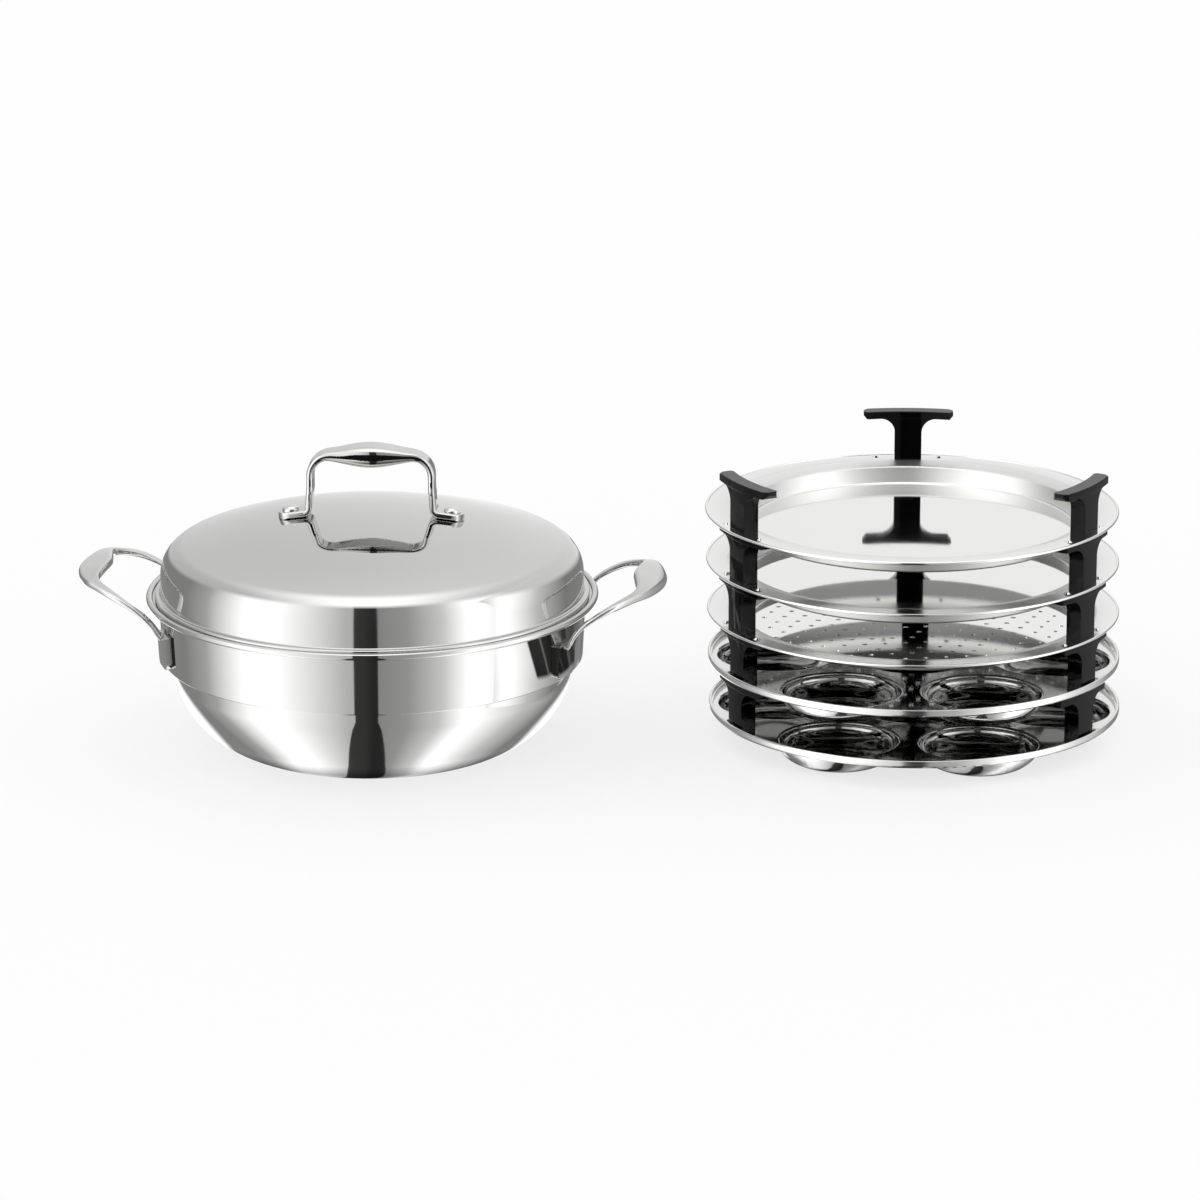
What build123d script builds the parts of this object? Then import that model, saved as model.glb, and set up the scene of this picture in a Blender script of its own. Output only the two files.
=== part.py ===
from build123d import *
import os
from math import asin, atan2, cos, degrees, hypot, radians, sin, sqrt

# Idli steamer in millimetres: a lidded steaming pot and, beside it, its stack of five plates.
# The origin is the centre of the pot's base, +Z is up and +X points along the row.

# Pot: a spun bowl under a wider wall, with a flat seat and a rolled rim
pot_sheet = 1.2
pot_base_sheet = 2.4
base_radius = 62.0
wall_radius = 128.5
wall_taper = 1.9
ledge_width = 6.3
ledge_slope = 1.5
bowl_height = 55.0
seat_height = 94.0
rim_width = 7.5
rim_bead = 2.0
rim_bead_lift = 0.3
ledge_round = 0.8
seat_round = 1.5

# Pot handles: cast loops, each on two flat feet welded to the wall
handle_turn = -4.55
foot_spacing_angle = 20.9
foot_width = 21.0
foot_height = 20.0
foot_lift = 2.5
foot_thickness = 3.0
foot_round = 4.0
weld_gap = 0.1
arm_start_lift = 17.5
arm_width = 6.0
grip_rise = 13.7
grip_standoff = 49.3
grip_width = 20.2
grip_thickness = 6.4
grip_tilt = 15.0

# Lid: a domed shell with a straight wall and a hem that lies on the seat
lid_sheet = 0.8
lid_turn = -2.5
lid_wall_inset = 1.3
lid_wall_spread = 0.4
lid_hem_height = 3.2
lid_hem_clearance = 1.0
lid_hem_round = 1.5
lid_height = 51.0
dome_radius = 360.0
shoulder_radius = 19.0

# Lid handle: a bent flat bar whose middle swells into a grip
bar_width = 16.0
bar_thickness = 4.0
bar_foot_reach = 56.0
bar_foot_centre = 48.0
bar_leg_bottom = 37.4
bar_leg_top = 35.8
bar_rise = 35.4
bar_corner = 12.0
bar_bend = 4.0
bar_seat_gap = 0.1
bar_plain_rise = 12.0
lid_grip_width = 23.0
lid_grip_thickness = 12.6

# Lid rivets
rivet_head_radius = 5.2
rivet_head_height = 2.8
rivet_shank_radius = 2.4
rivet_tail_radius = 4.2
rivet_tail_height = 1.3
fastener_clearance = 0.05

# Plates: the stack's place, and what all five have in common
stack_gap = 24.2
stack_y = 29.0
plate_radius = 125.0
plate_sheet = 0.8
plate_count = 5
plate_turns = (-5.2, -3.5, -4.0, -2.5, -1.6)
plate_slip = 0.75
post_inset = 8.0
mark_radius = 2.4
mark_crown_radius = 1.2
mark_height = 1.0
mark_offset = 20.0

# Idli plates, the lower two: seven cups pressed into a lipped sheet
cup_margin = 6.0
cup_gap = 12.5
cup_ring_count = 6
cup_depth = 14.4
cup_edge_round = 1.5
cup_wall_height = 2.0
cup_floor_radius = 15.5
cup_disc_radius = 13.5
cup_disc_lift = 0.6
lip_height = 4.2
lip_round = 2.2
lip_bead = 0.9

# Steaming plates, the upper three: a flat well inside a flat flange
flange_width = 13.5
well_slope_width = 8.5
well_top_drop = 2.4
well_wall_spread = 3.5
plain_well_depth = 12.0
holed_well_depth = 9.6
well_round = 1.6
edge_bead = 0.9
steam_hole_radius = 1.6
steam_hole_pitch = 12.5
steam_hole_margin = 7.5
steam_hole_turn = 8.0

# T-handles of the plates: moulded posts with a curved bar
post_width = 16.6
post_depth = 9.7
tee_height = 30.6
tee_length = 55.5
tee_depth = 10.0
tee_thickness = 4.5
tee_fillet = 9.0
tee_end_chamfer = 2.2
tee_corner_chamfer = 2.4
tee_bevel = 0.5
tee_dimple_radius = 1.6
tee_dimple_depth = 1.4

# Countersunk screw and threaded insert under each post
screw_radius = 1.95
screw_length = 10.8
screw_head_radius = 3.7
screw_slot_width = 1.0
screw_slot_depth = 0.8
insert_radius = 3.0
insert_length = 10.0
insert_level = 1.3

# Values that several pieces share
overrun = 1.0
ledge_radius = wall_radius - wall_taper
bowl_radius = ledge_radius - ledge_width
rim_reach = wall_radius + rim_width
foot_level = bowl_height + ledge_slope + foot_lift
arm_start_level = foot_level + arm_start_lift
grip_level = seat_height + grip_rise
grip_reach = wall_radius + grip_standoff
lid_wall_radius = wall_radius - lid_wall_inset
crown_height = seat_height + lid_height
bar_top_level = crown_height + bar_rise
stack_x = grip_reach + stack_gap + plate_radius
cup_radius = (plate_radius - cup_margin - cup_gap) / 3
cup_ring_radius = plate_radius - cup_margin - cup_radius
flange_inner_radius = plate_radius - flange_width
well_top_radius = flange_inner_radius - well_slope_width
well_floor_radius = well_top_radius - well_wall_spread
steam_hole_limit = well_floor_radius - steam_hole_margin
post_ring_radius = plate_radius - post_inset
plate_pitch = tee_height + plate_sheet
pot_axis = Axis.Z
post_azimuths = {"rear": 90.0, "left": 210.0, "right": 330.0}


def save(piece, name):
    """Labels a finished piece and writes its STEP file."""
    piece.part.label = name
    export_step(piece.part, f"parts/{name}.step")


def wall_radius_at(height):
    """Outer radius of the pot's tapering upper wall."""
    low = bowl_height + ledge_slope
    share = (height - low) / (seat_height - pot_sheet - low)
    return ledge_radius + share * (wall_radius - ledge_radius)


def dome_height_at(radius):
    """Height of the lid's outer dome at a radius from the axis."""
    return crown_height - dome_radius + sqrt(dome_radius**2 - radius**2)


def upright_plane(x, y, z):
    """Plane whose first axis is radial and whose second is up."""
    return Plane(origin=(x, y, z), x_dir=(1, 0, 0), z_dir=(0, -1, 0))


def make_pot_body():
    """Bowl, ledge, wall, seat and rolled rim, as one spun sheet."""
    bead_centre = rim_reach - rim_bead
    bead_level = seat_height + rim_bead_lift
    bead_slant = rim_bead / sqrt(2)
    ledge_level = bowl_height + ledge_slope
    inner_ledge = ledge_radius - pot_sheet
    inner_bowl = bowl_radius - pot_sheet
    with BuildPart() as pot:
        with BuildSketch(Plane.XZ):
            with BuildLine():
                Line((0, 0), (base_radius, 0))
                EllipticalCenterArc(
                    (base_radius, bowl_height),
                    bowl_radius - base_radius,
                    bowl_height,
                    start_angle=270,
                    arc_size=90,
                )
                FilletPolyline(
                    (bowl_radius, bowl_height),
                    (ledge_radius, ledge_level),
                    (wall_radius, seat_height - pot_sheet),
                    (bead_centre, bead_level - rim_bead),
                    radius=[ledge_round, seat_round],
                )
                ThreePointArc(
                    (bead_centre, bead_level - rim_bead),
                    (rim_reach, bead_level),
                    (bead_centre, bead_level + rim_bead),
                )
                ThreePointArc(
                    (bead_centre, bead_level + rim_bead),
                    (bead_centre - bead_slant, bead_level + bead_slant),
                    (bead_centre - rim_bead, bead_level),
                )
                Polyline(
                    (bead_centre - rim_bead, bead_level),
                    (bead_centre - rim_bead, seat_height),
                    (wall_radius - pot_sheet, seat_height),
                    (inner_ledge, ledge_level + pot_sheet),
                    (inner_bowl, bowl_height + pot_sheet),
                    (inner_bowl, bowl_height),
                )
                EllipticalCenterArc(
                    (base_radius, bowl_height),
                    inner_bowl - base_radius,
                    bowl_height - pot_base_sheet,
                    start_angle=0,
                    arc_size=-90,
                )
                Polyline((base_radius, pot_base_sheet), (0, pot_base_sheet), (0, 0))
            make_face()
        revolve(axis=pot_axis)
    save(pot, "pot_body")


# Half of a pot handle, from its foot to the middle of its grip. Each row has shares: the outer
# edge's reach and half width, the inner edge's reach and half width, then the rise, the
# thickness and the tilt.
grip_route_shares = (
    (0.0, 1.0, 0.0, 1.0, 0.0, 0.41, 0.0),
    (0.143, 1.11, 0.224, 1.125, 0.42, 0.41, 0.0),
    (0.34, 1.095, 0.533, 1.108, 0.68, 0.46, 0.0),
    (0.538, 1.012, 0.8, 0.993, 0.845, 0.56, 0.15),
    (0.746, 0.826, 1.033, 0.806, 0.95, 0.68, 0.5),
    (0.861, 0.671, 1.094, 0.637, 0.988, 0.84, 0.8),
    (0.954, 0.365, 1.053, 0.358, 1.0, 0.97, 1.0),
    (1.0, 0.0, 1.0, 0.0, 1.0, 1.0, 1.0),
)
grip_section_round_share = 0.42
arm_root_share = 0.75


def grip_rows():
    """Rows of the whole handle with one more row between each two, on a smooth curve."""
    half = [tuple(row) for row in grip_route_shares]
    other = [(a, -b, c, -d, e, f, g) for a, b, c, d, e, f, g in reversed(half[:-1])]
    rows = half + other
    dense = []
    for index in range(len(rows) - 1):
        before = rows[max(index - 1, 0)]
        after = rows[min(index + 2, len(rows) - 1)]
        near, far = rows[index], rows[index + 1]
        dense.append(near)
        dense.append(
            tuple(
                (9 * (b + c) - a - d) / 16 for a, b, c, d in zip(before, near, far, after)
            )
        )
    return dense + [rows[-1]]


def make_pot_handle(name, azimuth):
    """Cast loop handle: lofted grip and arms on two feet that follow the wall."""
    outward = Vector(cos(radians(azimuth)), sin(radians(azimuth)), 0)
    along = Vector(-sin(radians(azimuth)), cos(radians(azimuth)), 0)
    start_radius = wall_radius_at(arm_start_level) + weld_gap + foot_thickness * arm_root_share
    start_reach = start_radius * cos(radians(foot_spacing_angle))
    start_half = start_radius * sin(radians(foot_spacing_angle))
    outer_points, inner_points, thicknesses, tilts = [], [], [], []
    for a, b, c, d, rise, thick, tilt in grip_rows():
        level = Vector(0, 0, arm_start_level + rise * (grip_level - arm_start_level))
        outer_reach = start_reach + a * (grip_reach - start_reach)
        inner_reach = start_reach + c * (grip_reach - grip_width - start_reach)
        outer_half = b * (start_half + arm_width / 2)
        inner_half = d * (start_half - arm_width / 2)
        outer_points.append(outward * outer_reach + along * outer_half + level)
        inner_points.append(outward * inner_reach + along * inner_half + level)
        thicknesses.append(thick * grip_thickness)
        tilts.append(radians(tilt * grip_tilt))
    middles = [(a + b) / 2 for a, b in zip(outer_points, inner_points)]
    foot_angle = degrees(foot_width / wall_radius)
    foot_top = foot_level + foot_height
    low_radius = wall_radius_at(foot_level) + weld_gap
    top_radius = wall_radius_at(foot_top) + weld_gap
    with BuildPart() as handle:
        for index, middle in enumerate(middles):
            span = outer_points[index] - inner_points[index]
            across = span.normalized()
            route = middles[min(index + 1, len(middles) - 1)] - middles[max(index - 1, 0)]
            route = route.normalized()
            flat = Vector(across.Y, -across.X, 0)
            level_share = hypot(route.X, route.Y)
            heading = flat * level_share + Vector(0, 0, route.Z)
            tilt = tilts[index]
            tilted = across * cos(tilt) - Vector(0, 0, sin(tilt))
            thickness = thicknesses[index]
            with BuildSketch(Plane(origin=middle, x_dir=tilted, z_dir=heading)):
                RectangleRounded(
                    span.length, thickness, grip_section_round_share * thickness
                )
        loft()
        for side in (-1, 1):
            start_azimuth = azimuth + side * foot_spacing_angle - foot_angle / 2
            facing = Vector(cos(radians(start_azimuth)), sin(radians(start_azimuth)), 0)
            foot_plane = Plane(
                origin=(0, 0, 0), x_dir=facing, z_dir=(facing.Y, -facing.X, 0)
            )
            with BuildSketch(foot_plane):
                with BuildLine():
                    Polyline(
                        (low_radius, foot_level),
                        (low_radius + foot_thickness, foot_level),
                        (top_radius + foot_thickness, foot_top),
                        (top_radius, foot_top),
                        close=True,
                    )
                make_face()
            revolve(axis=pot_axis, revolution_arc=foot_angle)
        corners = [
            edge
            for edge in handle.edges().filter_by(GeomType.LINE)
            if abs(edge.center().Z - foot_level) < foot_thickness / 2
            and abs(edge.length - foot_thickness) < weld_gap
        ]
        fillet(corners, foot_round)
    save(handle, name)


def make_lid_shell():
    """Domed lid with its shoulder, straight wall and rolled hem."""
    dome_centre = crown_height - dome_radius
    shoulder_centre_radius = lid_wall_radius - shoulder_radius
    inner_reach = dome_radius - shoulder_radius
    shoulder_level = dome_centre + sqrt(inner_reach**2 - shoulder_centre_radius**2)
    meet = atan2(shoulder_level - dome_centre, shoulder_centre_radius)
    half_meet = meet / 2
    rise_angle = degrees(meet)
    hem_reach = rim_reach - 2 * rim_bead - lid_hem_clearance
    hem_round = lid_hem_height / 2
    hem_top = seat_height + lid_hem_height
    wall_bottom_radius = lid_wall_radius + lid_wall_spread
    inner_dome = dome_radius - lid_sheet
    inner_shoulder = shoulder_radius - lid_sheet
    with BuildPart() as lid:
        with BuildSketch(Plane.XZ):
            with BuildLine():
                Line(
                    (wall_bottom_radius - lid_sheet, seat_height),
                    (hem_reach - hem_round, seat_height),
                )
                ThreePointArc(
                    (hem_reach - hem_round, seat_height),
                    (hem_reach, seat_height + hem_round),
                    (hem_reach - hem_round, hem_top),
                )
                FilletPolyline(
                    (hem_reach - hem_round, hem_top),
                    (wall_bottom_radius, hem_top),
                    (lid_wall_radius, shoulder_level),
                    radius=[lid_hem_round],
                )
                ThreePointArc(
                    (lid_wall_radius, shoulder_level),
                    (
                        shoulder_centre_radius + shoulder_radius * cos(half_meet),
                        shoulder_level + shoulder_radius * sin(half_meet),
                    ),
                    (dome_radius * cos(meet), dome_centre + dome_radius * sin(meet)),
                )
                CenterArc(
                    (0, dome_centre), dome_radius, start_angle=rise_angle, arc_size=90 - rise_angle
                )
                Line((0, crown_height), (0, crown_height - lid_sheet))
                CenterArc((0, dome_centre), inner_dome, start_angle=90, arc_size=rise_angle - 90)
                ThreePointArc(
                    (inner_dome * cos(meet), dome_centre + inner_dome * sin(meet)),
                    (
                        shoulder_centre_radius + inner_shoulder * cos(half_meet),
                        shoulder_level + inner_shoulder * sin(half_meet),
                    ),
                    (lid_wall_radius - lid_sheet, shoulder_level),
                )
                Line(
                    (lid_wall_radius - lid_sheet, shoulder_level),
                    (wall_bottom_radius - lid_sheet, seat_height),
                )
            make_face()
        revolve(axis=pot_axis)
        for rivet_plane in rivet_planes():
            with BuildSketch(rivet_plane):
                Circle(rivet_shank_radius + fastener_clearance)
            extrude(amount=bar_thickness + rivet_tail_height, both=True, mode=Mode.SUBTRACT)
    save(lid, "lid_shell")


def rivet_planes():
    """Planes on top of the two feet of the lid handle, square to the sloping feet."""
    slope = asin(bar_foot_centre / dome_radius)
    lift = bar_seat_gap + bar_thickness
    radius = bar_foot_centre + lift * sin(slope)
    level = dome_height_at(bar_foot_centre) + lift * cos(slope)
    planes = []
    for azimuth in (lid_turn, lid_turn + 180):
        outward = Vector(cos(radians(azimuth)), sin(radians(azimuth)), 0)
        normal = outward * sin(slope) + Vector(0, 0, cos(slope))
        origin = outward * radius + Vector(0, 0, level)
        flat = outward * cos(slope) - Vector(0, 0, sin(slope))
        planes.append(Plane(origin=origin, x_dir=flat, z_dir=normal))
    return planes


# Sections along half of the lid handle's bridge: share of the way over it, of the plain
# bar's place between bar and grip, for the width and for the thickness
bridge_shares = (
    (0.0, 0.0, 0.0),
    (0.07, -0.08, 0.0),
    (0.133, -0.14, 0.01),
    (0.19, -0.16, 0.03),
    (0.245, -0.1, 0.1),
    (0.3, 0.12, 0.27),
    (0.36, 0.45, 0.57),
    (0.43, 0.82, 0.88),
    (0.5, 1.0, 1.0),
)
lid_grip_round_share = 0.44


def make_lid_handle():
    """Flat bar bent into a bridge, with round-ended feet and a swollen grip."""
    slope = asin(bar_foot_centre / dome_radius)
    lift = bar_seat_gap + bar_thickness / 2
    foot_radius = bar_foot_centre + lift * sin(slope)
    foot_level_mid = dome_height_at(bar_foot_centre) + lift * cos(slope)
    outward = Vector(cos(radians(lid_turn)), sin(radians(lid_turn)), 0)
    bar_plane = Plane(origin=(0, 0, 0), x_dir=outward, z_dir=(outward.Y, -outward.X, 0))
    end_level = foot_level_mid - (bar_foot_reach - foot_radius) * sin(slope) / cos(slope)
    leg_level = foot_level_mid + (foot_radius - bar_leg_bottom) * sin(slope) / cos(slope)
    top_level = bar_top_level
    join_level = leg_level + bar_plain_rise
    leg_lean = (bar_leg_bottom - bar_leg_top) / (top_level - leg_level)
    join_reach = bar_leg_bottom - leg_lean * bar_plain_rise
    other_half = [(1 - way, wide, thick) for way, wide, thick in reversed(bridge_shares[:-1])]
    with BuildPart() as handle:
        for side in (-1, 1):
            with BuildLine(bar_plane) as leg:
                FilletPolyline(
                    (side * bar_foot_reach, end_level),
                    (side * bar_leg_bottom, leg_level),
                    (side * join_reach, join_level),
                    radius=[bar_bend],
                )
            start = leg.line @ 0
            heading = leg.line % 0
            with BuildSketch(Plane(origin=start, x_dir=bar_plane.z_dir, z_dir=heading)):
                RectangleRounded(bar_width, bar_thickness, lid_grip_round_share * bar_thickness)
            sweep(path=leg.line)
        with BuildSketch(Plane(origin=(0, 0, 0), x_dir=outward, z_dir=(0, 0, 1))):
            SlotOverall(2 * bar_foot_reach, bar_width)
        extrude(amount=top_level + lid_grip_thickness, mode=Mode.INTERSECT)
        with BuildLine(bar_plane, mode=Mode.PRIVATE) as bridge:
            FilletPolyline(
                (-join_reach, join_level),
                (-bar_leg_top, top_level),
                (bar_leg_top, top_level),
                (join_reach, join_level),
                radius=[bar_corner, bar_corner],
            )
        for way, width_share, thickness_share in bridge_shares + tuple(other_half):
            width = bar_width + width_share * (lid_grip_width - bar_width)
            thickness = bar_thickness + thickness_share * (lid_grip_thickness - bar_thickness)
            place = bridge.line @ way
            heading = bridge.line % way
            with BuildSketch(Plane(origin=place, x_dir=bar_plane.z_dir, z_dir=heading)):
                RectangleRounded(width, thickness, lid_grip_round_share * thickness)
        loft()
        for rivet_plane in rivet_planes():
            with BuildSketch(rivet_plane):
                Circle(rivet_shank_radius + fastener_clearance)
            extrude(amount=-bar_thickness - overrun, mode=Mode.SUBTRACT)
    save(handle, "lid_handle")


def make_lid_rivets():
    """Two domed rivets through the feet and the lid, with their set tails inside."""
    grip = bar_thickness + bar_seat_gap + lid_sheet
    with BuildPart() as rivets:
        for rivet_plane in rivet_planes():
            profile = Plane(
                origin=rivet_plane.origin,
                x_dir=rivet_plane.x_dir,
                z_dir=-rivet_plane.y_dir,
            )
            tail_level = -grip - fastener_clearance
            with BuildSketch(profile):
                with BuildLine():
                    EllipticalCenterArc(
                        (0, fastener_clearance),
                        rivet_head_radius,
                        rivet_head_height,
                        start_angle=90,
                        arc_size=-90,
                    )
                    Polyline(
                        (rivet_head_radius, fastener_clearance),
                        (rivet_shank_radius, fastener_clearance),
                        (rivet_shank_radius, tail_level),
                        (rivet_tail_radius, tail_level),
                        (rivet_shank_radius, tail_level - rivet_tail_height),
                        (0, tail_level - rivet_tail_height),
                        (0, fastener_clearance + rivet_head_height),
                    )
                make_face()
            revolve(axis=Axis(rivet_plane.origin, rivet_plane.z_dir))
    save(rivets, "lid_rivets")


def plate_level(number):
    """Height of a plate's upper flange face, counted from the lowest plate."""
    return cup_depth + (number - 1) * plate_pitch


def plate_x(number):
    """Middle of a plate: each stands a little to the side of the one that carries it."""
    return stack_x + plate_slip * ((plate_count + 1) / 2 - number)


def plate_axis(number):
    """Upright axis of a plate."""
    return Axis((plate_x(number), stack_y, 0), (0, 0, 1))


def stack_point(number, azimuth, radius, sideways=0, lift=0):
    """Point above a plate's flange, at an azimuth turned with that plate."""
    angle = radians(azimuth + plate_turns[number - 1])
    x = plate_x(number) + radius * cos(angle) - sideways * sin(angle)
    y = stack_y + radius * sin(angle) + sideways * cos(angle)
    return Vector(x, y, plate_level(number) + lift)


def finish_flange(number):
    """Cuts the countersunk hole of each post's screw and presses up two marks beside it."""
    sink = screw_head_radius + fastener_clearance
    hollow = mark_radius - plate_sheet / 2
    hollow_crown = mark_crown_radius - plate_sheet / 2
    for azimuth in post_azimuths.values():
        with Locations(stack_point(number, azimuth, post_ring_radius, lift=-plate_sheet)):
            Cone(
                sink,
                sink - plate_sheet,
                plate_sheet,
                align=(Align.CENTER, Align.CENTER, Align.MIN),
                mode=Mode.SUBTRACT,
            )
        for side in (-mark_offset, mark_offset):
            with Locations(stack_point(number, azimuth, post_ring_radius, side)):
                Cone(
                    mark_radius,
                    mark_crown_radius,
                    mark_height,
                    align=(Align.CENTER, Align.CENTER, Align.MIN),
                )
            under = stack_point(number, azimuth, post_ring_radius, side, -plate_sheet)
            with Locations(under):
                Cone(
                    hollow,
                    hollow_crown,
                    mark_height,
                    align=(Align.CENTER, Align.CENTER, Align.MIN),
                    mode=Mode.SUBTRACT,
                )


def make_cup(inset, floor_level, disc_lift, top_level):
    """Turned form of one cup, drawn in by the inset, for the sheet's outside or inside."""
    rim = cup_radius - inset
    floor = cup_floor_radius - inset / 2
    disc = cup_disc_radius - inset / 2
    with BuildPart() as cup:
        with BuildSketch(Plane.XZ):
            with BuildLine():
                Polyline((0, top_level), (rim, top_level), (rim, -cup_wall_height))
                EllipticalCenterArc(
                    (floor, -cup_wall_height),
                    rim - floor,
                    -floor_level - cup_wall_height,
                    start_angle=0,
                    arc_size=-90,
                )
                Polyline(
                    (floor, floor_level),
                    (disc, floor_level + disc_lift),
                    (0, floor_level + disc_lift),
                    (0, top_level),
                )
            make_face()
        revolve(axis=Axis.Z)
    return cup.part


def cup_edges(tray, radius, level):
    """Circular edges of the cups, of one radius and at one level."""
    circles = tray.edges().filter_by(GeomType.CIRCLE)
    return [
        edge
        for edge in circles
        if abs(edge.radius - radius) < plate_sheet / 4
        and abs(edge.center().Z - level) < plate_sheet / 4
    ]


def make_idli_tray(number):
    """Sheet with a raised lip and seven cups: one in the middle and six around it."""
    level = plate_level(number)
    turn = plate_turns[number - 1]
    bead_centre = plate_radius - lip_bead
    inner = plate_radius - plate_sheet
    cup_outside = make_cup(-plate_sheet, -cup_depth, cup_disc_lift, -plate_sheet / 2)
    cup_inside = make_cup(0, plate_sheet - cup_depth, cup_disc_lift, overrun)
    with BuildPart() as tray:
        with BuildSketch(upright_plane(plate_x(number), stack_y, level)):
            with BuildLine():
                FilletPolyline(
                    (0, -plate_sheet),
                    (plate_radius, -plate_sheet),
                    (plate_radius, lip_height - lip_bead),
                    radius=[lip_round],
                )
                ThreePointArc(
                    (plate_radius, lip_height - lip_bead),
                    (bead_centre, lip_height),
                    (bead_centre - lip_bead, lip_height - lip_bead),
                )
                Line(
                    (bead_centre - lip_bead, lip_height - lip_bead),
                    (inner, lip_height - 2 * lip_bead),
                )
                FilletPolyline(
                    (inner, lip_height - 2 * lip_bead),
                    (inner, 0),
                    (0, 0),
                    radius=[lip_round - plate_sheet],
                )
                Line((0, 0), (0, -plate_sheet))
            make_face()
        revolve(axis=plate_axis(number))
        with Locations((plate_x(number), stack_y, level)):
            add(cup_outside)
            with PolarLocations(cup_ring_radius, cup_ring_count, start_angle=turn):
                add(cup_outside)
        with Locations((plate_x(number), stack_y, level)):
            add(cup_inside, mode=Mode.SUBTRACT)
            with PolarLocations(cup_ring_radius, cup_ring_count, start_angle=turn):
                add(cup_inside, mode=Mode.SUBTRACT)
        fillet(cup_edges(tray, cup_radius, level), cup_edge_round)
        under_edges = cup_edges(tray, cup_radius + plate_sheet, level - plate_sheet)
        fillet(under_edges, cup_edge_round - plate_sheet)
        finish_flange(number)
    save(tray, f"plate_{number}_tray")


def steam_hole_places(number):
    """Staggered places of a plate's steam holes, inside the holed floor's limit."""
    row_pitch = steam_hole_pitch * sin(radians(60))
    rows = int(steam_hole_limit / row_pitch) + 1
    places = []
    for row in range(-rows, rows + 1):
        for column in range(-rows - 1, rows + 2):
            x = (column + 0.5 * (row % 2)) * steam_hole_pitch
            y = row * row_pitch
            if hypot(x, y) <= steam_hole_limit:
                angle = radians(steam_hole_turn)
                turned_x = x * cos(angle) - y * sin(angle)
                turned_y = x * sin(angle) + y * cos(angle)
                places.append((plate_x(number) + turned_x, stack_y + turned_y, 0))
    return places


def make_well_tray(number, depth, holed):
    """Sheet with a flat flange, a thin rolled edge and a flat-floored well."""
    level = plate_level(number)
    bead_centre = plate_radius - edge_bead
    inset = plate_radius - edge_bead - sqrt(edge_bead**2 - (plate_sheet / 2) ** 2)
    with BuildPart() as tray:
        with BuildSketch(upright_plane(plate_x(number), stack_y, level)):
            with BuildLine():
                FilletPolyline(
                    (0, -depth - plate_sheet),
                    (well_floor_radius + plate_sheet, -depth - plate_sheet),
                    (well_top_radius + plate_sheet, -well_top_drop - plate_sheet),
                    (flange_inner_radius, -plate_sheet),
                    (inset, -plate_sheet),
                    radius=[well_round + plate_sheet, well_round, well_round],
                )
                ThreePointArc(
                    (inset, -plate_sheet),
                    (plate_radius, -plate_sheet / 2),
                    (inset, 0),
                )
                FilletPolyline(
                    (inset, 0),
                    (flange_inner_radius, 0),
                    (well_top_radius, -well_top_drop),
                    (well_floor_radius, -depth),
                    (0, -depth),
                    radius=[well_round, well_round + plate_sheet, well_round],
                )
                Line((0, -depth), (0, -depth - plate_sheet))
            make_face()
        revolve(axis=plate_axis(number))
        if holed:
            with BuildSketch(Plane.XY.offset(level - depth - plate_sheet - overrun)):
                with Locations(*steam_hole_places(number)):
                    Circle(steam_hole_radius)
            extrude(amount=plate_sheet + 2 * overrun, mode=Mode.SUBTRACT)
        finish_flange(number)
    save(tray, f"plate_{number}_tray")


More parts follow.
